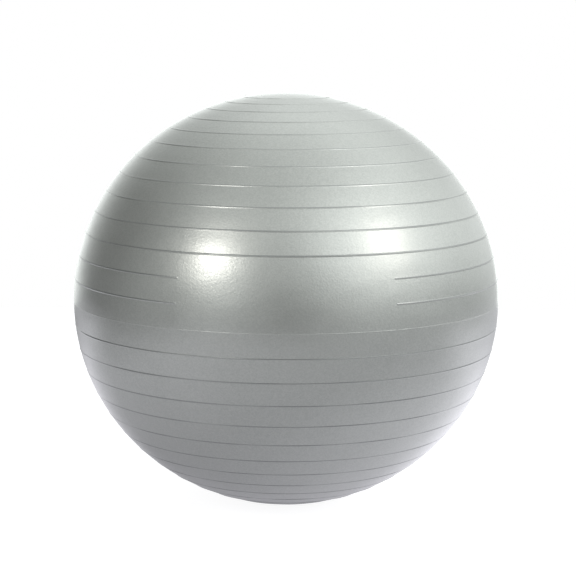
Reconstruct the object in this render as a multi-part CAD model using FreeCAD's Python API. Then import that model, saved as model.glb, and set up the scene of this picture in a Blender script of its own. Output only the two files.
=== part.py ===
import FreeCAD, Part

# Inflated exercise ball, standing on a floor.
#
# Three pieces: a seamless soft skin with raised ribs round it, a valve seat bonded into
# the back of the skin, and a plug that pushes into the seat and pulls out of it.
#
# Frame: millimetres, +Z up, Z = 0 at the floor and the ball's upright axis on Z.
# The plain panel between the short ribs faces -Y and the valve faces +Y.
#
# A latitude here is the eccentric angle of the skin's elliptical outline, in degrees: 0 on
# the mould seam, 90 at the crown, negative below the seam.

import math
import os

# The skin
BALL_WIDTH = 650.0
BALL_HEIGHT = 630.5  # the outline's full height, before the floor flattens it
FLOOR_PATCH_RADIUS = 36.0  # the flat that the ball's own weight makes
WALL = 0.9

# The raised ribs and the mould's parting line
RIBS_EACH_SIDE = 13
SMALLEST_RIB_RADIUS = 65.7  # the last rib, round the crown and round the floor patch
RIB_CLOSING = 0.08  # how much the pitch closes up from the seam to the last rib
RIB_WIDTH = 3.0
RIB_HEIGHT = 0.9
SEAM_WIDTH = 1.2
SEAM_HEIGHT = 0.35

# The plain panel, where the first ribs above the seam stop short
PANEL_RIBS = (1, 2)
PANEL_HALF_ANGLE = 28.7  # degrees round from the front

# The valve
PLUG_HEAD_RADIUS = 10.0
PLUG_HEAD_THICKNESS = 1.8
PLUG_HEAD_SINK = 0.3  # below the ball's surface
PLUG_HEAD_ROUNDING = 0.5
PLUG_BEYOND_SEAT = 2.0  # how far the stem stands out of the seat, inside the ball
PLUG_TIP_LENGTH = 5.0
PLUG_TIP_NARROWING = 1.2
PLUG_CORE_RADIUS = 2.2
PLUG_BASE_THICKNESS = 3.0  # solid below the head, above the hollow core
VALVE_BORE_RADIUS = 4.5
SEAT_RIM_WIDTH = 1.8
SEAT_FLANGE_WIDTH = 6.0
SEAT_FLANGE_THICKNESS = 1.6
SEAT_SLEEVE_WALL = 3.0
SEAT_DEPTH = 15.0  # from the ball's surface to the sleeve's inner end

# Fits
RUNNING_FIT = 0.05  # stem in bore, on the radius
HEAD_CLEARANCE = 0.3  # round the plug's head
HEAD_STANDOFF = 0.1  # under the plug's head
BOND_LINE = 0.25  # between the seat and the skin round it

HALF_WIDTH = BALL_WIDTH / 2
HALF_HEIGHT = BALL_HEIGHT / 2
CENTRE_HEIGHT = HALF_HEIGHT * math.sqrt(1 - (FLOOR_PATCH_RADIUS / HALF_WIDTH) ** 2)
RECESS_RADIUS = PLUG_HEAD_RADIUS + HEAD_CLEARANCE
RECESS_DEPTH = PLUG_HEAD_SINK + PLUG_HEAD_THICKNESS + HEAD_STANDOFF
SEAT_RIM_RADIUS = RECESS_RADIUS + SEAT_RIM_WIDTH
SKIN_HOLE_RADIUS = SEAT_RIM_RADIUS + BOND_LINE
SEAT_FLANGE_RADIUS = SKIN_HOLE_RADIUS + SEAT_FLANGE_WIDTH
SEAT_FLANGE_BACK = max(WALL, RECESS_DEPTH) + SEAT_FLANGE_THICKNESS
CLEAR_OF_SURFACE = 5.0  # how far cutting bodies reach beyond the ball
FRONT = -90  # degrees round from +X
SECTORS_ROUND_THE_BACK = 3  # short faces keep the skin's volume exact
PLAIN_BANDS = 12  # likewise, from the floor patch to the crown

UPRIGHT = FreeCAD.Vector(0, 0, 1)
CENTRE = FreeCAD.Vector(0, 0, CENTRE_HEIGHT)
FOOT = FreeCAD.Vector(0, 0, 0)


def rib_latitude(number):
    """Latitude of a rib, counted up or down from the seam; the pitch closes towards the poles."""
    last = math.degrees(math.acos(SMALLEST_RIB_RADIUS / HALF_WIDTH))
    share = number / RIBS_EACH_SIDE
    return last * share * (1 - RIB_CLOSING * share**2) / (1 - RIB_CLOSING)


def on_skin(latitude, lift=0.0):
    """Point of the front-to-side outline in the XZ plane, lifted along the skin's normal."""
    angle = math.radians(latitude)
    foot = FreeCAD.Vector(HALF_WIDTH * math.cos(angle), 0, HALF_HEIGHT * math.sin(angle))
    normal = FreeCAD.Vector(HALF_HEIGHT * math.cos(angle), 0, HALF_WIDTH * math.sin(angle))
    return CENTRE + foot + normal.normalize() * lift


def latitude_span(latitude, length):
    """Degrees of latitude that a length along the outline covers."""
    angle = math.radians(latitude)
    run = math.hypot(HALF_WIDTH * math.sin(angle), HALF_HEIGHT * math.cos(angle))
    return math.degrees(length / run)


def outline_arc(low, high, inset=0.0):
    """Edge of the ball's elliptical outline between two latitudes."""
    across = HALF_WIDTH - inset
    tall = HALF_HEIGHT - inset
    side = CENTRE + FreeCAD.Vector(across, 0, 0)
    crown = CENTRE + FreeCAD.Vector(0, 0, tall)
    if across >= tall:
        ellipse = Part.Ellipse(side, crown, CENTRE)
        return Part.ArcOfEllipse(ellipse, math.radians(low), math.radians(high)).toShape()
    ellipse = Part.Ellipse(crown, side, CENTRE)
    return Part.ArcOfEllipse(ellipse, math.radians(90 - high), math.radians(90 - low)).toShape()


def swept(edges, start, sweep):
    """Solid made by turning a closed outline about the upright axis, from start through sweep."""
    face = Part.Face(Part.Wire(edges))
    face.rotate(FOOT, UPRIGHT, start)
    return face.revolve(FOOT, UPRIGHT, sweep)


def patch_latitude(inset=0.0):
    """Latitude at which the outline, drawn in by inset, meets the flat of the floor patch."""
    return -math.degrees(math.asin((CENTRE_HEIGHT - inset) / (HALF_HEIGHT - inset)))


def plain_ball(inset=0.0):
    """The ball without ribs, its whole surface drawn in by inset, as four fused quarters."""
    start = patch_latitude(inset)
    patch_middle = FreeCAD.Vector(0, 0, inset)
    patch_radius = (HALF_WIDTH - inset) * math.cos(math.radians(start))
    patch_edge = FreeCAD.Vector(patch_radius, 0, inset)
    step = (90 - start) / PLAIN_BANDS
    latitudes = [start + n * step for n in range(PLAIN_BANDS)]
    bands = [outline_arc(latitude, latitude + step, inset) for latitude in latitudes]
    floor = Part.makeLine(patch_middle, patch_edge)
    axis = Part.makeLine(on_skin(90, -inset), patch_middle)
    quarters = [swept([floor, *bands, axis], turn, 90) for turn in (0, 90, 180, 270)]
    return quarters[0].fuse(quarters[1:])


def ribbed_outline(left_out=()):
    """The ball's closed outline with the seam bead and the ribs on it, but for those left out."""
    ribs = [n for n in range(-RIBS_EACH_SIDE, RIBS_EACH_SIDE + 1) if n not in left_out]
    latitude = patch_latitude()
    edges = [Part.makeLine(FOOT, on_skin(latitude))]
    for number in ribs:
        width, height = (RIB_WIDTH, RIB_HEIGHT) if number else (SEAM_WIDTH, SEAM_HEIGHT)
        middle = rib_latitude(number)
        half = latitude_span(middle, width / 2)
        edges.append(outline_arc(latitude, middle - half))
        bead = Part.Arc(on_skin(middle - half), on_skin(middle, height), on_skin(middle + half))
        edges.append(bead.toShape())
        latitude = middle + half
    edges.append(outline_arc(latitude, 90))
    edges.append(Part.makeLine(on_skin(90), FOOT))
    return edges


def short_rib_ends():
    """The round ends that close each short rib at both sides of the plain panel."""
    bead_radius = (RIB_WIDTH**2 / 4 + RIB_HEIGHT**2) / (2 * RIB_HEIGHT)
    along_the_rib = FreeCAD.Vector(0, 1, 0)
    ends = []
    for number in PANEL_RIBS:
        middle = on_skin(rib_latitude(number), RIB_HEIGHT - bead_radius)
        for side in (-PANEL_HALF_ANGLE, PANEL_HALF_ANGLE):
            end = Part.makeSphere(bead_radius, middle, along_the_rib)
            end.rotate(FOOT, UPRIGHT, FRONT + side)
            ends.append(end)
    return ends


def ribbed_ball():
    """The ball's outside as a solid: the front sector has the plain panel, the rest every rib."""
    front = swept(ribbed_outline(PANEL_RIBS), FRONT - PANEL_HALF_ANGLE, 2 * PANEL_HALF_ANGLE)
    sweep = (360 - 2 * PANEL_HALF_ANGLE) / SECTORS_ROUND_THE_BACK
    starts = [FRONT + PANEL_HALF_ANGLE + n * sweep for n in range(SECTORS_ROUND_THE_BACK)]
    rest = [swept(ribbed_outline(), start, sweep) for start in starts]
    return front.fuse(rest).fuse(short_rib_ends())


def valve_place():
    """The point of the surface that the valve is on, and the outward direction there."""
    latitude = (rib_latitude(PANEL_RIBS[0]) + rib_latitude(PANEL_RIBS[-1])) / 2
    point = on_skin(latitude)
    outward = on_skin(latitude, 1.0) - point
    quarter_turn = FreeCAD.Rotation(UPRIGHT, 90)
    return quarter_turn.multVec(point), quarter_turn.multVec(outward)


def valve_cylinder(radius, outer_depth, inner_depth):
    """Cylinder on the valve's axis, between two depths below the ball's surface."""
    point, outward = valve_place()
    base = point - outward * inner_depth
    return Part.makeCylinder(radius, inner_depth - outer_depth, base, outward)


def valve_cone(inner_radius, outer_radius, outer_depth, inner_depth):
    """Tapered cylinder on the valve's axis, between two depths below the ball's surface."""
    point, outward = valve_place()
    base = point - outward * inner_depth
    return Part.makeCone(inner_radius, outer_radius, inner_depth - outer_depth, base, outward)


def ball_shell():
    """The skin: ribbed outside, smooth inside, with the hole that the valve seat fills."""
    skin = ribbed_ball().cut(plain_ball(WALL))
    hole = valve_cylinder(SKIN_HOLE_RADIUS, -CLEAR_OF_SURFACE, WALL + CLEAR_OF_SURFACE)
    return skin.cut(hole)


def valve_seat():
    """The seat: a rim level with the skin, a flange bonded behind it and a sleeve inside."""
    rim = valve_cylinder(SEAT_RIM_RADIUS, -CLEAR_OF_SURFACE, SEAT_FLANGE_BACK)
    rim = rim.common(plain_ball())
    flange = valve_cylinder(SEAT_FLANGE_RADIUS, -CLEAR_OF_SURFACE, SEAT_FLANGE_BACK)
    flange = flange.common(plain_ball(WALL + BOND_LINE))
    sleeve_radius = VALVE_BORE_RADIUS + SEAT_SLEEVE_WALL
    sleeve = valve_cylinder(sleeve_radius, RECESS_DEPTH, SEAT_DEPTH)
    recess = valve_cylinder(RECESS_RADIUS, -CLEAR_OF_SURFACE, RECESS_DEPTH)
    bore = valve_cylinder(VALVE_BORE_RADIUS, 0, SEAT_DEPTH + CLEAR_OF_SURFACE)
    return rim.fuse([flange, sleeve]).cut(recess).cut(bore).removeSplitter()


def valve_plug():
    """The plug: a flat round head on a hollow stem with a tapered tip."""
    head_back = PLUG_HEAD_SINK + PLUG_HEAD_THICKNESS
    head = valve_cylinder(PLUG_HEAD_RADIUS, PLUG_HEAD_SINK, head_back)
    rims = [edge for edge in head.Edges if edge.Closed]
    head = head.makeFillet(PLUG_HEAD_ROUNDING, rims)
    stem_radius = VALVE_BORE_RADIUS - RUNNING_FIT
    stem_end = SEAT_DEPTH + PLUG_BEYOND_SEAT
    tip_start = stem_end - PLUG_TIP_LENGTH
    stem = valve_cylinder(stem_radius, head_back - PLUG_HEAD_THICKNESS / 2, tip_start)
    tip = valve_cone(stem_radius - PLUG_TIP_NARROWING, stem_radius, tip_start, stem_end)
    core = valve_cylinder(
        PLUG_CORE_RADIUS, head_back + PLUG_BASE_THICKNESS, stem_end + CLEAR_OF_SURFACE
    )
    return head.fuse([stem, tip]).cut(core).removeSplitter()


def single_solid(shape):
    """The one solid that a shape holds."""
    solids = shape.Solids
    if len(solids) != 1 or not solids[0].isValid():
        raise ValueError(f"expected one valid solid, found {len(solids)}")
    return solids[0]


def main():
    os.makedirs("parts", exist_ok=True)
    pieces = {
        "ball_shell": ball_shell(),
        "valve_seat": valve_seat(),
        "valve_plug": valve_plug(),
    }
    for name, shape in pieces.items():
        solid = single_solid(shape)
        solid.exportStep(f"parts/{name}.step")
        print(f"{name}: {solid.Volume / 1000:.2f} cm3, {len(solid.Faces)} faces")
    point, outward = valve_place()
    print("valve at", [round(c, 4) for c in point], "outward", [round(c, 6) for c in outward])


main()
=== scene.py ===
# %% [markdown]
# An inflated exercise ball, finished around its CAD model. The ball is one moulded skin of soft
# silver-grey PVC with raised grip ribs, a valve seat bonded into its back and a white plug that
# pushes into the seat. The CAD model gives the sizes and the frame: metres, +Z up, the floor at
# Z = 0, the plain front panel towards -Y and the valve towards +Y.

# %% Load the frame
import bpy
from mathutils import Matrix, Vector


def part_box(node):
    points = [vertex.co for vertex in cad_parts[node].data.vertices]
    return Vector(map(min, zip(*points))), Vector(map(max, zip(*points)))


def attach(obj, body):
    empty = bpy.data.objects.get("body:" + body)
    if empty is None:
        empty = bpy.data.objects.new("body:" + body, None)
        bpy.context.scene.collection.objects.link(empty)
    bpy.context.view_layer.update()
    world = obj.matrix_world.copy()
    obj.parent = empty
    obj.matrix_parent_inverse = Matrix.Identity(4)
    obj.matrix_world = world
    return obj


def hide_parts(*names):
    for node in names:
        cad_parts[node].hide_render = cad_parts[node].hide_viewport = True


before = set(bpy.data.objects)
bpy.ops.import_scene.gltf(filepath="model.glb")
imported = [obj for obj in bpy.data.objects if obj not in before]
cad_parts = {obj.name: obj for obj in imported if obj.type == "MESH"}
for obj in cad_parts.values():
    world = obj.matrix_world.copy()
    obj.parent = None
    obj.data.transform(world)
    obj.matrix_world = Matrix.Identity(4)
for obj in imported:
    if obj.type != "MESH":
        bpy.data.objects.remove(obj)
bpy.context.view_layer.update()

import math

import bpy
import numpy as np
from mathutils import Quaternion, Vector

bpy.context.scene.view_settings.view_transform = "Standard"

# %% [markdown]
# The real ball is a little lower than it is wide, because its own weight and the mould flatten
# it, and it stands on a small flat patch. Its outline is an ellipse, so two half axes and the
# height of the centre describe it. They could be typed in again, but reading them off the CAD
# box keeps this file right when the design changes. The seam bead is the widest place, so it is
# taken off the width first.

# %% The outline's sizes
MM = 0.001
SEAM_HEIGHT = 0.35 * MM
PATCH_RADIUS = 36 * MM
WALL = 0.9 * MM

shell_low, shell_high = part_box("ball_shell")
HALF_WIDTH = (shell_high.x - shell_low.x) / 2 - SEAM_HEIGHT
HALF_HEIGHT = shell_high.z / (1 + math.sqrt(1 - (PATCH_RADIUS / HALF_WIDTH) ** 2))
CENTRE_HEIGHT = shell_high.z - HALF_HEIGHT
FRONT = -math.pi / 2
BACK = math.pi / 2
print(f"half width {HALF_WIDTH:.4f}, half height {HALF_HEIGHT:.4f}, centre {CENTRE_HEIGHT:.4f}")

# %% [markdown]
# Every point of the skin is found from a latitude, a longitude and a lift off the surface. The
# ribs lie on evenly closing latitudes, thirteen above the seam and thirteen below, and the
# latitude here is the ellipse's own angle, which makes the formulas short.

# %% Points of the skin
RIBS_EACH_SIDE = 13
SMALLEST_RIB_RADIUS = 65.7 * MM
RIB_CLOSING = 0.08


def skin_points(latitude, longitude, lift=0.0, inset=0.0):
    """Half axes times the sines and cosines of both angles, plus lift along the unit normal."""
    across = (HALF_WIDTH - inset) * np.cos(latitude)
    up = (HALF_HEIGHT - inset) * np.sin(latitude)
    normal_across = HALF_HEIGHT * np.cos(latitude)
    normal_up = HALF_WIDTH * np.sin(latitude)
    length = np.hypot(normal_across, normal_up)
    radius = across + lift * normal_across / length
    height = CENTRE_HEIGHT + up + lift * normal_up / length
    around = np.cos(longitude), np.sin(longitude)
    return np.stack([radius * around[0], radius * around[1], height + 0 * longitude], axis=-1)


def rib_latitude(number):
    """The share of the last rib's latitude, less a cubic term that closes the pitch."""
    last = math.acos(SMALLEST_RIB_RADIUS / HALF_WIDTH)
    share = number / RIBS_EACH_SIDE
    return last * share * (1 - RIB_CLOSING * share**2) / (1 - RIB_CLOSING)


def run_per_radian(latitude):
    """Length along the outline for each radian of latitude."""
    return np.hypot(HALF_WIDTH * np.sin(latitude), HALF_HEIGHT * np.cos(latitude))


print("ribs at", [round(math.degrees(rib_latitude(n)), 1) for n in range(1, RIBS_EACH_SIDE + 1)])

# %% [markdown]
# A mould leaves a rib as a soft bead, not as a sharp bar. A raised cosine gives that section: it
# starts level with the skin, rises smoothly and is round on top. It is lower than the CAD's
# plain bead, so that its flanks are gentle, no steeper than about 30 degrees. The two ribs above
# the seam stop short at both sides of the plain front panel, and their ends die away in the same
# curve, so one formula of two distances makes the bead and its rounded end.

# %% How high the ribs stand
RIB_HALF_WIDTH = 1.6 * MM
RIB_HEIGHT = 0.55 * MM
USUAL_SHARE_ABOVE = 0.95
USUAL_SHARE_BELOW = 0.82
RIB_UNEVENNESS = 0.2
RIB_SHARES = (0.35, 1.15)
SEAM_HALF_WIDTH = 0.7 * MM
USUAL_FLASH = 0.45
FLASH_UNEVENNESS = 0.6
FLASH_SHARES = (0.05, 1.0)
WAVE_HEIGHT = 0.05 * MM
PANEL_RIBS = (1, 2)
PANEL_HALF_ANGLE = math.radians(28.7)
SINES = 7


def raised_cosine(distance, half_width):
    """Half of one plus the cosine of the distance, from 1 in the middle to 0 at half_width."""
    share = np.clip(np.abs(distance) / half_width, 0, 1)
    return 0.5 + 0.5 * np.cos(np.pi * share)


def wander(angle, seed, waves):
    """A closed wobble round the ball: sines of random whole counts and phases, over root SINES."""
    draw = np.random.default_rng(seed)
    counts = draw.integers(waves // 3, waves, size=SINES)
    phases = draw.uniform(0, 2 * np.pi, size=SINES)
    return np.sin(angle[..., None] * counts + phases).sum(axis=-1) / math.sqrt(SINES)


def rib_lift(latitude, longitude, shift=0.0):
    """Bead height: a raised cosine of the distance, shifted up the skin by a length if asked."""
    lift = np.zeros(np.broadcast(latitude, longitude).shape)
    from_front = np.abs((longitude - FRONT + np.pi) % (2 * np.pi) - np.pi)
    for number in range(-RIBS_EACH_SIDE, RIBS_EACH_SIDE + 1):
        if number == 0:
            continue
        middle = rib_latitude(number)
        across = (latitude - middle) * run_per_radian(middle) - shift
        past_end = 0.0
        if number in PANEL_RIBS:
            past_end = (PANEL_HALF_ANGLE - from_front) * HALF_WIDTH * math.cos(middle)
        distance = np.hypot(across, np.maximum(past_end, 0))
        usual = USUAL_SHARE_ABOVE if number > 0 else USUAL_SHARE_BELOW
        uneven = np.clip(usual + RIB_UNEVENNESS * wander(longitude, 40 + number, 16), *RIB_SHARES)
        lift += RIB_HEIGHT * raised_cosine(distance, RIB_HALF_WIDTH) * uneven
    return lift


def seam_lift(latitude, longitude):
    """The parting line: a narrow bead whose height comes and goes along it."""
    across = latitude * run_per_radian(0.0)
    flash = np.clip(USUAL_FLASH + FLASH_UNEVENNESS * wander(longitude, 7, 90), *FLASH_SHARES)
    return SEAM_HEIGHT * flash * raised_cosine(across, SEAM_HALF_WIDTH)


def moulding_waves(latitude, longitude):
    """Slow, shallow unevenness of a soft moulded wall, fading out at the crown and the floor."""
    fade = np.cos(latitude) ** 2
    slow = wander(longitude + 2.0 * latitude, 3, 18) + wander(longitude - 3.0 * latitude, 4, 26)
    return WAVE_HEIGHT * fade * slow


# %% [markdown]
# A grid of latitudes and longitudes is the plainest way to mesh a ball. Even rows would need
# millions of faces to show a bead 3 mm wide, so the rows crowd together where a rib crosses and
# spread out on the plain bands. The columns do the same at the ends of the short ribs. Where the
# valve is, a square window is left in the grid.

# %% Rows and columns of the outer skin
VALVE_LATITUDE = (rib_latitude(PANEL_RIBS[0]) + rib_latitude(PANEL_RIBS[1])) / 2
WINDOW_HALF = 15.6 * MM
WINDOW_STEPS = 12
SKIN_COLUMNS = 200
BAND_ROWS = 3
CROWN_ROWS = 5
START_LATITUDE = -math.asin(CENTRE_HEIGHT / HALF_HEIGHT)

valve_run = run_per_radian(VALVE_LATITUDE)
valve_ring = HALF_WIDTH * math.cos(VALVE_LATITUDE)


def skin_rows():
    """Latitudes from the floor patch to just under the crown, crowded on the ribs."""
    across_rib = RIB_HALF_WIDTH * np.array([-1.2, -0.9, -0.6, -0.3, 0, 0.3, 0.6, 0.9, 1.2])
    across_seam = SEAM_HALF_WIDTH * np.array([-1.5, -0.9, -0.45, 0, 0.45, 0.9, 1.5])
    edges, rows = [START_LATITUDE], [np.array([START_LATITUDE])]
    for number in range(-RIBS_EACH_SIDE, RIBS_EACH_SIDE + 1):
        offsets = across_rib if number else across_seam
        bead = rib_latitude(number) + offsets / run_per_radian(rib_latitude(number))
        gap = np.linspace(edges[-1], bead[0], BAND_ROWS + 2)[1:-1]
        if number == PANEL_RIBS[1]:
            gap = VALVE_LATITUDE + np.linspace(-1, 1, WINDOW_STEPS + 1) * WINDOW_HALF / valve_run
        rows += [gap, bead]
        edges.append(bead[-1])
    rows.append(np.linspace(edges[-1], np.pi / 2, CROWN_ROWS + 2)[1:-1])
    return np.concatenate(rows)


def skin_columns():
    """Longitudes all the way round, crowded at the short ribs' ends and across the window."""
    even = FRONT + np.arange(SKIN_COLUMNS) * 2 * np.pi / SKIN_COLUMNS
    window = BACK + np.linspace(-1, 1, WINDOW_STEPS + 1) * WINDOW_HALF / valve_ring
    end = RIB_HALF_WIDTH * np.linspace(-1.15, 0.3, 8) / HALF_WIDTH
    ends = np.concatenate([FRONT - PANEL_HALF_ANGLE - end, FRONT + PANEL_HALF_ANGLE + end])
    fine = FRONT + (np.concatenate([window, ends]) - FRONT) % (2 * np.pi)
    spacing = 0.35 * 2 * np.pi / SKIN_COLUMNS
    keep = np.abs(even[:, None] - fine[None, :]).min(axis=1) > spacing
    keep &= np.abs(even - BACK) > WINDOW_HALF / valve_ring
    return np.sort(np.concatenate([even[keep], fine]))


rows, columns = skin_rows(), skin_columns()
print(len(rows), "rows and", len(columns), "columns")

# %% [markdown]
# The ball's wall is a closed sheet with two sides and a hole for the valve, so its mesh must be
# closed too. It is gathered ring by ring: each new ring is bridged to the last one, and a fan
# closes a pole. When all rings run the same way round, every face looks outward by itself.

# %% A surface made of rings
class Surface:
    """Points and faces gathered ring by ring, then turned into one mesh object."""

    def __init__(self):
        self.points = []
        self.faces = []
        self.count = 0

    def add(self, points):
        """Stores the points and returns their numbers in the same arrangement."""
        numbers = np.arange(points[..., 0].size).reshape(points.shape[:-1]) + self.count
        self.points.append(points.reshape(-1, 3))
        self.count += numbers.size
        return numbers

    def bridge(self, first, second):
        """Four-sided faces between two closed rings of the same length."""
        quads = np.stack([first, np.roll(first, -1), np.roll(second, -1), second], axis=-1)
        self.faces += quads.reshape(-1, 4).tolist()

    def fan(self, ring, point, first=False):
        """Triangles between a ring and one point, which comes first or last in the chain."""
        tip = np.full(ring.shape, self.add(np.array([point]))[0])
        following = np.roll(ring, -1)
        order = [tip, following, ring] if first else [ring, following, tip]
        self.faces += np.stack(order, axis=-1).tolist()

    def build(self, name):
        """One smooth-shaded mesh object at the origin, without the points no face uses."""
        points = np.concatenate(self.points)
        used = np.unique(np.concatenate([np.ravel(face) for face in self.faces]))
        renumber = np.zeros(len(points), dtype=int)
        renumber[used] = np.arange(len(used))
        faces = [[int(renumber[number]) for number in face] for face in self.faces]
        mesh = bpy.data.meshes.new(name)
        mesh.from_pydata(points[used].tolist(), [], faces)
        mesh.validate()
        mesh.shade_smooth()
        piece = bpy.data.objects.new(name, mesh)
        bpy.context.scene.collection.objects.link(piece)
        triangles = sum(len(face) - 2 for face in faces)
        print(f"{name}: {len(used)} points, {triangles} triangles")
        return piece


# %% [markdown]
# The outer side carries all the relief. Where the ball rests, the skin lies flat on the floor:
# that flat disc is a few plain rings. The inner side needs no relief, so its rows are coarse.

# %% The outer side, the crown and the floor patch
PATCH_SHARES = (0.3, 0.62, 0.86)


def outer_side(latitude, longitude):
    """Points of the outer side with ribs, seam and the slow waves."""
    latitude, longitude = np.broadcast_arrays(latitude, longitude)
    lift = rib_lift(latitude, longitude) + seam_lift(latitude, longitude)
    return skin_points(latitude, longitude, lift + moulding_waves(latitude, longitude))


def grid_with_window(surface, latitudes, points, inward=False):
    """Faces of a grid of rings but for the window, whose edge comes back as one ring."""
    numbers = surface.add(points)
    low = int(np.argmin(np.abs(latitudes - (VALVE_LATITUDE - WINDOW_HALF / valve_run))))
    left = int(np.argmin(np.abs(columns - (BACK - WINDOW_HALF / valve_ring))))
    high, right = low + window_rows(latitudes, low), left + WINDOW_STEPS
    below, above = numbers[:-1], numbers[1:]
    quads = np.stack([below, np.roll(below, -1, 1), np.roll(above, -1, 1), above], axis=-1)
    keep = np.ones(quads.shape[:2], dtype=bool)
    keep[low:high, left:right] = False
    quads = quads[keep]
    surface.faces += (quads[:, ::-1] if inward else quads).tolist()
    edge = np.concatenate([
        numbers[low, left:right],
        numbers[low:high, right],
        numbers[high, right:left:-1],
        numbers[high:low:-1, left],
    ])
    return numbers, edge


def window_rows(latitudes, low):
    """How many steps of the grid lie in the window, counted from its low edge."""
    top = VALVE_LATITUDE + WINDOW_HALF / valve_run
    return int(np.argmin(np.abs(latitudes - top))) - low


skin = Surface()
outer = outer_side(rows[:, None], columns[None, :])
outer[0, :, 2] = 0.0
outer_numbers, outer_edge = grid_with_window(skin, rows, outer)
skin.fan(outer_numbers[-1], outer_side(np.pi / 2, 0.0))

patch = [skin.add(outer[0] * share) for share in PATCH_SHARES]
skin.fan(patch[0], (0.0, 0.0, 0.0), first=True)
for smaller, larger in zip(patch, patch[1:] + [outer_numbers[0]]):
    skin.bridge(smaller, larger)
print("outer side:", outer.shape[0] * outer.shape[1], "points, window edge of", len(outer_edge))

# %% [markdown]
# The inner side is the same outline, smaller by the wall. A real skin has an even wall because
# soft PVC is spun in a closed mould, so one inset is enough.

# %% The inner side
ROWS_UNDER_WINDOW = 19
ROWS_OVER_WINDOW = 14

inner_start = -math.asin((CENTRE_HEIGHT - WALL) / (HALF_HEIGHT - WALL))
window_low, window_high = (VALVE_LATITUDE + side * WINDOW_HALF / valve_run for side in (-1, 1))
inner_rows = np.concatenate([
    np.linspace(inner_start, window_low, ROWS_UNDER_WINDOW + 1)[:-1],
    np.linspace(window_low, window_high, WINDOW_STEPS + 1),
    np.linspace(window_high, np.pi / 2, ROWS_OVER_WINDOW + 2)[1:-1],
])
inner = skin_points(inner_rows[:, None], columns[None, :], inset=WALL)
inner_numbers, inner_edge = grid_with_window(skin, inner_rows, inner, inward=True)
skin.fan(inner_numbers[-1][::-1], (0.0, 0.0, CENTRE_HEIGHT + HALF_HEIGHT - WALL))
skin.fan(inner_numbers[0][::-1], (0.0, 0.0, WALL), first=True)
print("inner side:", inner.shape[0] * inner.shape[1], "points")

# %% [markdown]
# The hole for the valve is punched straight through the wall, and its outer edge is slightly
# rounded from the punch. Inside the window the rings go from a square to a circle in a few
# steps, over the edge and down through the wall, and out again to the inner window.

# %% The hole for the valve
HOLE_RADIUS = 12.35 * MM
HOLE_EDGE = 0.3 * MM

slope = math.cos(VALVE_LATITUDE) / HALF_WIDTH, math.sin(VALVE_LATITUDE) / HALF_HEIGHT
valve_out = np.array(Vector((0.0, *slope)).normalized())
valve_side = np.array([-1.0, 0.0, 0.0])
valve_up = np.cross(valve_out, valve_side)
valve_point = skin_points(VALVE_LATITUDE, BACK)


def window_ring(reach, radius, inset=0.0):
    """The square's edge drawn in towards a circle: reach 0 is the square and 1 is the circle."""
    step = np.linspace(-1, 1, WINDOW_STEPS + 1)[:-1] * WINDOW_HALF
    side = np.full(WINDOW_STEPS, WINDOW_HALF)
    east = np.concatenate([step, side, -step, -side])
    north = np.concatenate([-side, step, side, -step])
    shrink = (1 - reach) + reach * radius / np.hypot(east, north)
    latitude = VALVE_LATITUDE + north * shrink / valve_run
    longitude = BACK + east * shrink / valve_ring
    if inset:
        return skin_points(latitude, longitude, inset=inset)
    return outer_side(latitude, longitude)


def on_cylinder(points, radius, depth=0.0):
    """The points moved square to the valve's axis until they are at the radius, then sunk."""
    arm = points - valve_point
    along = arm @ valve_out
    across = arm - along[:, None] * valve_out
    across *= radius / np.linalg.norm(across, axis=1)[:, None]
    return valve_point + across + (along - depth)[:, None] * valve_out


ring = outer_edge
for reach in (0.25, 0.5, 0.75, 0.93):
    following = skin.add(window_ring(reach, HOLE_RADIUS + HOLE_EDGE))
    skin.bridge(ring, following)
    ring = following
rim = window_ring(1.0, HOLE_RADIUS + HOLE_EDGE)
for turn in np.radians([0, 30, 60, 90]):
    wider = HOLE_EDGE * (1 - math.sin(turn))
    following = skin.add(on_cylinder(rim, HOLE_RADIUS + wider, HOLE_EDGE * (1 - math.cos(turn))))
    skin.bridge(ring, following)
    ring = following
for reach in (1.0, 0.6, 0.3):
    points = window_ring(reach, HOLE_RADIUS, inset=WALL)
    following = skin.add(on_cylinder(points, HOLE_RADIUS) if reach == 1.0 else points)
    skin.bridge(ring, following)
    ring = following
skin.bridge(ring, inner_edge)
ribbed_skin = skin.build("ribbed_skin")

# %% [markdown]
# The seat and the plug are turned shapes: one profile swept round the valve's axis. A profile
# is listed as corners of radius, depth below the skin and rounding. Every corner is rounded a
# little, because a moulded rubber or plastic edge is never knife sharp.

# %% Turning a profile round the valve's axis
TURN_STEPS = 72
SHARP_ANGLE = math.radians(38)


def rounded(corners):
    """Corners in mm cut back by their rounding: (1-t)^2 start + 2t(1-t) corner + t^2 end."""
    corners = np.array(corners) * MM
    places, cuts = corners[:, :2], corners[:, 2:]
    before, after = np.roll(places, 1, axis=0), np.roll(places, -1, axis=0)
    into = (before - places) / np.linalg.norm(before - places, axis=1)[:, None]
    out = (after - places) / np.linalg.norm(after - places, axis=1)[:, None]
    share = np.linspace(0, 1, 5)[None, :, None]
    start, end = (places + into * cuts)[:, None], (places + out * cuts)[:, None]
    curve = (1 - share) ** 2 * start + 2 * share * (1 - share) * places[:, None] + share**2 * end
    points = [curve[i] if cuts[i, 0] else curve[i, :1] for i in range(len(corners))]
    return np.concatenate(points)


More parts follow.
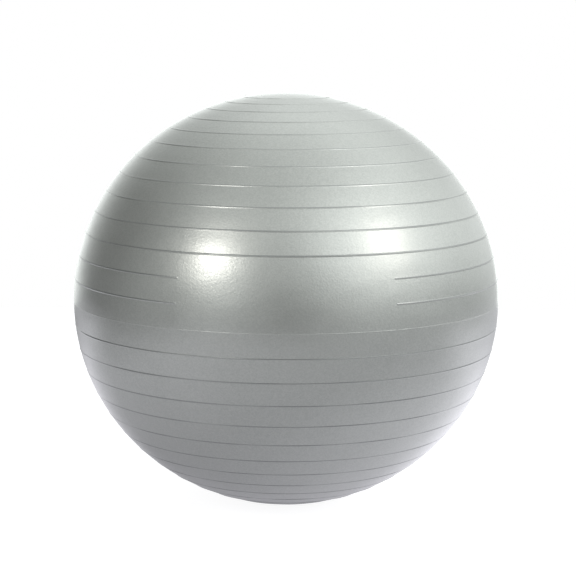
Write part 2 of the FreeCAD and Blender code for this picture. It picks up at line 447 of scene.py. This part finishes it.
def turned(name, profile, closed):
    """A ring of points for each profile point, bridged in order; open ends close in a fan."""
    angle = np.arange(TURN_STEPS) * 2 * np.pi / TURN_STEPS
    spoke = np.cos(angle)[:, None] * -valve_side + np.sin(angle)[:, None] * valve_up
    surface = Surface()
    body = profile if closed else profile[1:-1]
    rings = [surface.add(valve_point + r * spoke - depth * valve_out) for r, depth in body]
    for first, second in zip(rings, rings[1:]):
        surface.bridge(first, second)
    if closed:
        surface.bridge(rings[-1], rings[0])
    else:
        surface.fan(rings[0], valve_point - profile[0][1] * valve_out, first=True)
        surface.fan(rings[-1], valve_point - profile[-1][1] * valve_out)
    piece = surface.build(name)
    piece.data.set_sharp_from_angle(angle=SHARP_ANGLE)
    return piece


# %% [markdown]
# The seat is a soft PVC bush. Its rim fills the hole flush with the skin, its flange is bonded
# to the inside of the skin, and a sleeve runs inward to hold the plug's stem. The plug's head
# lies in a shallow recess so that nothing stands proud when the ball rolls over it.

# %% The valve seat
seat_profile = rounded([
    (12.1, 0.225, 0.3), (10.3, 0.163, 0.25), (10.3, 2.2, 0.25), (4.5, 2.2, 0.35),
    (4.5, 15.0, 0.3), (7.5, 15.0, 0.8), (7.5, 3.8, 0.9), (18.35, 3.8, 0.5),
    (18.35, 1.668, 0.3), (12.1, 1.375, 0.0),
])
seat_insert = turned("seat_insert", seat_profile, closed=True)

# %% [markdown]
# The plug is one piece of white polyethylene: a flat round head with a shallow dish to get a
# nail or a flat tool under, and a tapered stem with three shallow grooves that help it to grip.
# The stem is hollow from its tip so that it can give a little as it is pushed in.

# %% The plug
stem = []
for depth in (10.0, 7.8, 5.6):
    stem += [(4.45, depth + 0.35, 0.15), (4.2, depth + 0.2, 0.1)]
    stem += [(4.2, depth - 0.2, 0.1), (4.45, depth - 0.35, 0.15)]
plug_profile = rounded(
    [(0.0, 5.1, 0.0), (2.2, 5.1, 0.5), (2.2, 17.0, 0.3), (3.25, 17.0, 0.4), (4.45, 12.0, 0.6)]
    + stem
    + [(4.45, 2.1, 0.0), (10.0, 2.1, 0.3), (10.0, 0.3, 0.55), (8.6, 0.3, 0.3), (7.6, 0.75, 0.5)]
    + [(2.4, 0.85, 0.4), (2.0, 0.45, 0.3), (0.0, 0.45, 0.0)])
push_in_plug = turned("push_in_plug", plug_profile, closed=False)

# %% [markdown]
# A bead looks like a thin dark line on the real ball, and on the upper half its lower side is
# lit. The dark line is painted shade: the shade on each bead's upper side is painted into the
# skin's colour. So each point keeps a number, 0 on the plain skin and 1 in the middle of that
# painted shade, which is the bead's own shape moved a little way up. The skin's material reads it.

# %% The painted shade of the beads as a number on the skin
# The painted shade sits this far up the skin from each bead's middle.
PAINTED_SHADE_SHIFT = 0.4 * RIB_HALF_WIDTH


def painted_rib_shade_of(points):
    """The painted shade's mask: the bead height of each point, shifted up the skin, over the rib
    height, from 0 to 1.
    """
    across = np.hypot(points[:, 0], points[:, 1])
    latitude = np.arctan2((points[:, 2] - CENTRE_HEIGHT) * HALF_WIDTH, across * HALF_HEIGHT)
    longitude = np.arctan2(points[:, 1], points[:, 0])
    return np.clip(rib_lift(latitude, longitude, PAINTED_SHADE_SHIFT) / RIB_HEIGHT, 0, 1)


skin_mesh = ribbed_skin.data
places = np.empty(len(skin_mesh.vertices) * 3)
skin_mesh.vertices.foreach_get("co", places)
# Each point's share of the painted shade on the beads is kept in an attribute.
values = painted_rib_shade_of(places.reshape(-1, 3))
painted_rib_shade = skin_mesh.attributes.new("painted_rib_shade", "FLOAT", "POINT")
painted_rib_shade.data.foreach_set("value", values)
print("points on a rib:", int((values > 0.5).sum()))

# %% [markdown]
# A material is a small graph of nodes. The same few nodes come again and again, so a helper adds
# one node, sets its values and links its inputs. Patterns read Object coordinates, which stay
# with the piece when it moves.

# %% A helper for material nodes
def node(tree, kind, inputs=(), **settings):
    """One new node: settings are its options, inputs are (socket, value or another socket)."""
    made = tree.nodes.new(kind)
    for name, value in settings.items():
        setattr(made, name, value)
    for socket, value in inputs:
        if isinstance(value, bpy.types.NodeSocket):
            tree.links.new(value, made.inputs[socket])
        else:
            made.inputs[socket].default_value = value
    return made


def new_material(name):
    """An empty material with a Principled shader, its tree and its Object coordinates."""
    material = bpy.data.materials.new(name)
    material.use_nodes = True
    tree = material.node_tree
    shader = tree.nodes["Principled BSDF"]
    place = node(tree, "ShaderNodeTexCoord").outputs["Object"]
    return material, tree, shader, place


def noise(tree, place, scale, detail, roughness):
    """Soft noise: its factor, from 0 to 1 and near 0.5 on average; the scale is per metre."""
    made = node(tree, "ShaderNodeTexNoise",
                [("Vector", place), ("Scale", scale), ("Detail", detail), ("Roughness", roughness)])
    return made.outputs["Factor" if "Factor" in made.outputs else "Fac"]


def remap(tree, value, low, high, to_low, to_high):
    """Straight-line change of range, clamped at both ends."""
    made = node(tree, "ShaderNodeMapRange",
                [("Value", value), ("From Min", low), ("From Max", high),
                 ("To Min", to_low), ("To Max", to_high)])
    return made.outputs["Result"]


def blend(tree, share, first, second):
    """Two colours blended by a share: the first at 0 and the second at 1."""
    made = node(tree, "ShaderNodeMix", data_type="RGBA")
    for socket, value in ((0, share), (6, first), (7, second)):
        if isinstance(value, bpy.types.NodeSocket):
            tree.links.new(value, made.inputs[socket])
        else:
            made.inputs[socket].default_value = value
    return made.outputs[2]


def math_node(tree, operation, first, second):
    """One sum, difference, product or power of two values."""
    return node(tree, "ShaderNodeMath", [(0, first), (1, second)], operation=operation).outputs[0]


# %% [markdown]
# The ball's skin is PVC filled with fine pearl flakes. It shines like dull metal seen through a
# thin clear film: the flakes give the broad, soft sheen and the film gives the tight highlight.
# So the shader is partly metallic and rough, with a smoother coat. Each flake lies at its own
# angle, so the tone is grainy: cells of about 1.6 mm are each a little lighter or darker. The
# moulded surface is faintly pebbled, which breaks up the edge of the highlights.

# %% The pearl skin
FLAKES_PER_METRE = 620.0
PEBBLES_PER_METRE = 340.0


def pearl_skin():
    """Two greys mixed slowly over the skin, flake cells in the tone, painted shade on the beads,
    fine bumps.
    """
    material, tree, shader, place = new_material("pearl_grey_skin")
    slow = remap(tree, noise(tree, place, 5.0, 3.0, 0.55), 0.3, 0.7, 0.0, 1.0)
    tone = blend(tree, slow, (0.412, 0.427, 0.412, 1), (0.462, 0.477, 0.462, 1))
    flakes = node(tree, "ShaderNodeTexVoronoi", [("Vector", place), ("Scale", FLAKES_PER_METRE)])
    flake = node(tree, "ShaderNodeSeparateColor", [("Color", flakes.outputs["Color"])]).outputs[0]
    tone = blend(tree, remap(tree, flake, 0.0, 1.0, 0.0, 0.36), tone, (0.62, 0.63, 0.61, 1))
    # Painted shade: the upper side of each bead is darkened towards a dark grey.
    line = node(tree, "ShaderNodeAttribute", attribute_name="painted_rib_shade").outputs["Fac"]
    tone = blend(tree, remap(tree, line, 0.2, 0.75, 0.0, 0.75), tone, (0.21, 0.22, 0.22, 1))
    tree.links.new(tone, shader.inputs["Base Color"])
    shader.inputs["Metallic"].default_value = 0.6
    gloss = remap(tree, noise(tree, place, 14.0, 4.0, 0.6), 0.3, 0.7, 0.31, 0.37)
    tree.links.new(gloss, shader.inputs["Roughness"])
    shader.inputs["Coat Weight"].default_value = 0.75
    shader.inputs["Coat Roughness"].default_value = 0.24
    shader.inputs["Coat IOR"].default_value = 1.45
    pebbles = noise(tree, place, PEBBLES_PER_METRE, 2.0, 0.6)
    bump = node(tree, "ShaderNodeBump",
                [("Strength", 0.7), ("Distance", 0.3 * MM), ("Height", pebbles)])
    tree.links.new(bump.outputs["Normal"], shader.inputs["Normal"])
    return material


ribbed_skin.data.materials.append(pearl_skin())
print("skin material:", ribbed_skin.data.materials[0].name)

# %% [markdown]
# The seat is a plain satin PVC a shade darker than the skin, without flakes. Its look comes from
# a faint flow pattern and from fine moulding texture.

# %% The seat and the plug
def satin_seat():
    """Two close greys mixed by soft noise, with a fine moulded texture."""
    material, tree, shader, place = new_material("satin_grey_seat")
    flow = remap(tree, noise(tree, place, 60.0, 4.0, 0.6), 0.3, 0.7, 0.0, 1.0)
    tone = blend(tree, flow, (0.30, 0.31, 0.305, 1), (0.36, 0.37, 0.365, 1))
    tree.links.new(tone, shader.inputs["Base Color"])
    tree.links.new(remap(tree, flow, 0.0, 1.0, 0.42, 0.54), shader.inputs["Roughness"])
    bump = node(tree, "ShaderNodeBump", [("Strength", 0.2), ("Distance", 0.0002),
                                         ("Height", noise(tree, place, 1400.0, 3.0, 0.6))])
    tree.links.new(bump.outputs["Normal"], shader.inputs["Normal"])
    return material


def polythene_plug():
    """Off-white with slow yellowing, a little light through it and a slightly waxy surface."""
    material, tree, shader, place = new_material("polythene_plug")
    age = remap(tree, noise(tree, place, 90.0, 4.0, 0.6), 0.3, 0.7, 0.0, 1.0)
    tone = blend(tree, age, (0.80, 0.795, 0.77, 1), (0.86, 0.86, 0.845, 1))
    tree.links.new(tone, shader.inputs["Base Color"])
    tree.links.new(remap(tree, age, 0.0, 1.0, 0.46, 0.36), shader.inputs["Roughness"])
    shader.inputs["Subsurface Weight"].default_value = 0.12
    shader.inputs["Subsurface Scale"].default_value = 0.002
    bump = node(tree, "ShaderNodeBump", [("Strength", 0.15), ("Distance", 0.00015),
                                         ("Height", noise(tree, place, 900.0, 3.0, 0.6))])
    tree.links.new(bump.outputs["Normal"], shader.inputs["Normal"])
    return material


seat_insert.data.materials.append(satin_seat())
push_in_plug.data.materials.append(polythene_plug())
print("materials:", [m.name for m in bpy.data.materials])

# %% [markdown]
# The finished pieces now take the place of the plain CAD solids. Each one rides the body that
# carries it: the skin and its bonded seat belong to the ball, and the plug slides on its own.

# %% Hand the pieces to the frame
for piece, body, part, slot in (
    (ribbed_skin, "ball", "ball_shell", "skin"),
    (seat_insert, "ball", "valve_seat", "valve_insert"),
    (push_in_plug, "plug", "valve_plug", "plug"),
):
    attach(piece, body)
    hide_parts(part)
    print(piece.name, "rides", body, "in place of", part)

# %% [markdown]
# The ball stands on a plain pale floor in an even white room, as goods are shown. The camera
# sees the floor and the room almost white. Reflections see a greyer floor, because a ball in an
# all-white room would lose its shape. That floor glows unevenly with painted light: it grows
# lighter or darker towards a few bearings, has a painted pool of light on the right, and painted
# shade makes it dark close under the ball.

# %% Floor
FLOOR_SIZE = 3.6
FLOOR_GLOW = 0.195
# Bearing from +X round to +Y in degrees, metres to the change's start and end, and its strength.
FLOOR_SIDES = (
    (80, -0.05, 0.35, 0.60),
    (80, 0.45, 1.2, -0.45),
    (150, 0.55, 1.1, -0.36),
    (200, 0.0, 0.9, 0.20),
    (270, 0.3, 1.0, -0.08),
    (300, 0.3, 0.9, -0.03),
)
LIGHT_POOL = (0.32, 0.06, 0.0)
POOL_REACH = 0.58
POOL_GLOW = 0.54
SHADE_START = 0.035
SHADE_END = 0.10
SHADE_SHARE = 0.15


def pale_floor():
    """White for the camera with a faint shadow; for reflections a grey matt floor with painted light
    and shade.
    """
    material = bpy.data.materials.new("pale_floor")
    material.use_nodes = True
    tree = material.node_tree
    tree.nodes.clear()
    ray = node(tree, "ShaderNodeLightPath").outputs["Is Camera Ray"]
    matt = node(tree, "ShaderNodeBsdfDiffuse", [("Color", (0.29, 0.285, 0.305, 1))])
    place = node(tree, "ShaderNodeTexCoord").outputs["Object"]
    glow = FLOOR_GLOW
    # Painted light: the floor's glow grows or fades towards a few bearings.
    for bearing, near, far, strength in FLOOR_SIDES:
        way = (math.cos(math.radians(bearing)), math.sin(math.radians(bearing)), 0.0)
        reach = node(tree, "ShaderNodeVectorMath", [(0, place), (1, way)], operation="DOT_PRODUCT")
        side = remap(tree, reach.outputs["Value"], near, far, 0.0, strength)
        glow = math_node(tree, "ADD", glow, side)
    # Painted pool of light on the floor, seen only in reflections.
    from_pool = node(tree, "ShaderNodeVectorMath", [(0, place), (1, LIGHT_POOL)],
                     operation="DISTANCE").outputs["Value"]
    glow = math_node(tree, "ADD", glow, remap(tree, from_pool, 0.0, POOL_REACH, POOL_GLOW, 0.0))
    # Painted shadow: the glow is darkened close under the ball.
    from_foot = node(tree, "ShaderNodeVectorMath", [(0, place)], operation="LENGTH").outputs["Value"]
    shade = remap(tree, from_foot, SHADE_START, SHADE_END, SHADE_SHARE, 1.0)
    glow = math_node(tree, "MULTIPLY", math_node(tree, "MAXIMUM", glow, 0.0), shade)
    lit = node(tree, "ShaderNodeEmission", [("Color", (1, 0.985, 1.06, 1)), ("Strength", glow)])
    grey = node(tree, "ShaderNodeAddShader", [(0, lit.outputs[0]), (1, matt.outputs[0])])
    white = node(tree, "ShaderNodeEmission", [("Color", (1, 1, 1, 1)), ("Strength", 0.9)])
    seen = node(tree, "ShaderNodeAddShader", [(0, white.outputs[0]), (1, matt.outputs[0])])
    mixed = node(tree, "ShaderNodeMixShader", [(0, ray), (1, grey.outputs[0]), (2, seen.outputs[0])])
    output = node(tree, "ShaderNodeOutputMaterial")
    tree.links.new(mixed.outputs[0], output.inputs["Surface"])
    return material


bpy.ops.mesh.primitive_plane_add(size=FLOOR_SIZE, location=(0, 0, 0))
floor = bpy.context.active_object
floor.name = "floor"
floor.data.materials.append(pale_floor())
print("floor:", tuple(round(side, 1) for side in floor.dimensions))

# %% [markdown]
# The room's light is a sum of soft lobes. A lobe is brightest in one direction and fades as a
# power of the cosine, like a large bounce board: the higher the power, the smaller the board.

# %% Room light
# Name: bearing from +X round to +Y, elevation, both in degrees, power of the cosine, strength.
LOBES = {
    "ceiling": (0, 90, 4, 0.6),
    "high back wall": (85, 58, 8, 0.4),
    "back wall": (90, 40, 8, 0.6),
    "back right wall": (45, 40, 8, 0.5),
    "right wall": (0, 40, 8, 1.1),
    "front right board": (312, 34, 8, 1.9),
    "front left board": (225, 40, 8, 0.6),
    "low front right": (330, 10, 16, 0.5),
    "low right": (0, 14, 20, 0.7),
    "low back right": (30, 12, 20, 0.8),
    "low far right": (55, 4, 24, 0.8),
    "horizon": (90, 0, 20, 2.0),
    "horizon line": (84, -8, 60, 2.8),
    "back left wall": (125, 12, 18, 0.3),
    "low back left": (114, -3, 30, 1.2),
    "low left": (188, 4, 16, 0.3),
    "low front left": (234, 14, 18, 1.0),
}


def toward(bearing, elevation):
    """The unit vector at a bearing, counted from +X round to +Y, and an elevation in degrees."""
    turn, rise = math.radians(bearing), math.radians(elevation)
    return (math.cos(rise) * math.cos(turn), math.cos(rise) * math.sin(turn), math.sin(rise))


def room_light():
    """White for the camera, and for all other rays a level plus each lobe's cosine power."""
    world = bpy.data.worlds.new("studio")
    bpy.context.scene.world = world
    world.use_nodes = True
    tree = world.node_tree
    tree.nodes.clear()
    direction = node(tree, "ShaderNodeTexCoord").outputs["Generated"]
    level = 0.0
    for bearing, elevation, power, strength in LOBES.values():
        axis = toward(bearing, elevation)
        cosine = node(tree, "ShaderNodeVectorMath", [(0, direction), (1, axis)],
                      operation="DOT_PRODUCT").outputs["Value"]
        lobe = math_node(tree, "POWER", math_node(tree, "MAXIMUM", cosine, 0.0), power)
        level = math_node(tree, "ADD", math_node(tree, "MULTIPLY", lobe, strength), level)
    seen = node(tree, "ShaderNodeBackground", [("Color", (1, 1, 1, 1)), ("Strength", 1.0)])
    lit = node(tree, "ShaderNodeBackground", [("Color", (0.965, 1, 0.983, 1)), ("Strength", level)])
    ray = node(tree, "ShaderNodeLightPath").outputs["Is Camera Ray"]
    mixed = node(tree, "ShaderNodeMixShader", [(0, ray), (1, lit.outputs[0]), (2, seen.outputs[0])])
    output = node(tree, "ShaderNodeOutputWorld")
    tree.links.new(mixed.outputs[0], output.inputs["Surface"])


room_light()
print("room light of", len(LOBES), "lobes")

# %% [markdown]
# Two round lights stand in front, above the ball on the left and on the right. They make the
# two highlights and the bright edges of the ribs near them, and they are slightly warm.

# %% Round lights
LIGHT_DISTANCE = 2.4
BALL_CENTRE = Vector((0.0, 0.0, CENTRE_HEIGHT))


def round_light(name, direction, radius, colour, power):
    """A disc of light at the set distance from the ball's centre, turned to face it."""
    lamp = bpy.data.lights.new(name, "AREA")
    lamp.shape = "DISK"
    lamp.size = 2 * radius
    lamp.energy = power
    lamp.color = colour
    place = bpy.data.objects.new(name, lamp)
    bpy.context.scene.collection.objects.link(place)
    place.location = BALL_CENTRE + Vector(direction).normalized() * LIGHT_DISTANCE
    place.rotation_euler = Vector(direction).to_track_quat("Z", "Y").to_euler()


round_light("left_light", (-0.573, -0.683, 0.448), 0.32, (1.0, 0.965, 0.91), 8.8)
round_light("right_light", (0.733, -0.448, 0.512), 0.44, (1.0, 0.94, 0.88), 5.3)
print("lights:", [light.name for light in bpy.data.lights])

# %% [markdown]
# The camera stands nearly level with the ball, a little above its middle, and looks through a
# long lens so that the outline stays round.

# %% Camera
CAMERA_ELEVATION = math.radians(8.95)
CAMERA_DISTANCE = 2.9545
CAMERA_ROLL = math.radians(0.25)
AIM_OFFSET = Vector((0.0028, 0.0, 0.0152))

camera = bpy.data.objects.new("camera", bpy.data.cameras.new("camera"))
bpy.context.scene.collection.objects.link(camera)
bpy.context.scene.camera = camera
camera.data.sensor_width = 36.0
camera.data.lens = 119.9
camera.location = BALL_CENTRE + CAMERA_DISTANCE * Vector(
    (0.0, -math.cos(CAMERA_ELEVATION), math.sin(CAMERA_ELEVATION)))
aim = BALL_CENTRE + AIM_OFFSET
level_view = (aim - camera.location).to_track_quat("-Z", "Y")
camera.rotation_euler = (level_view @ Quaternion((0, 0, 1), CAMERA_ROLL)).to_euler()
print("camera at", [round(value, 3) for value in camera.location])
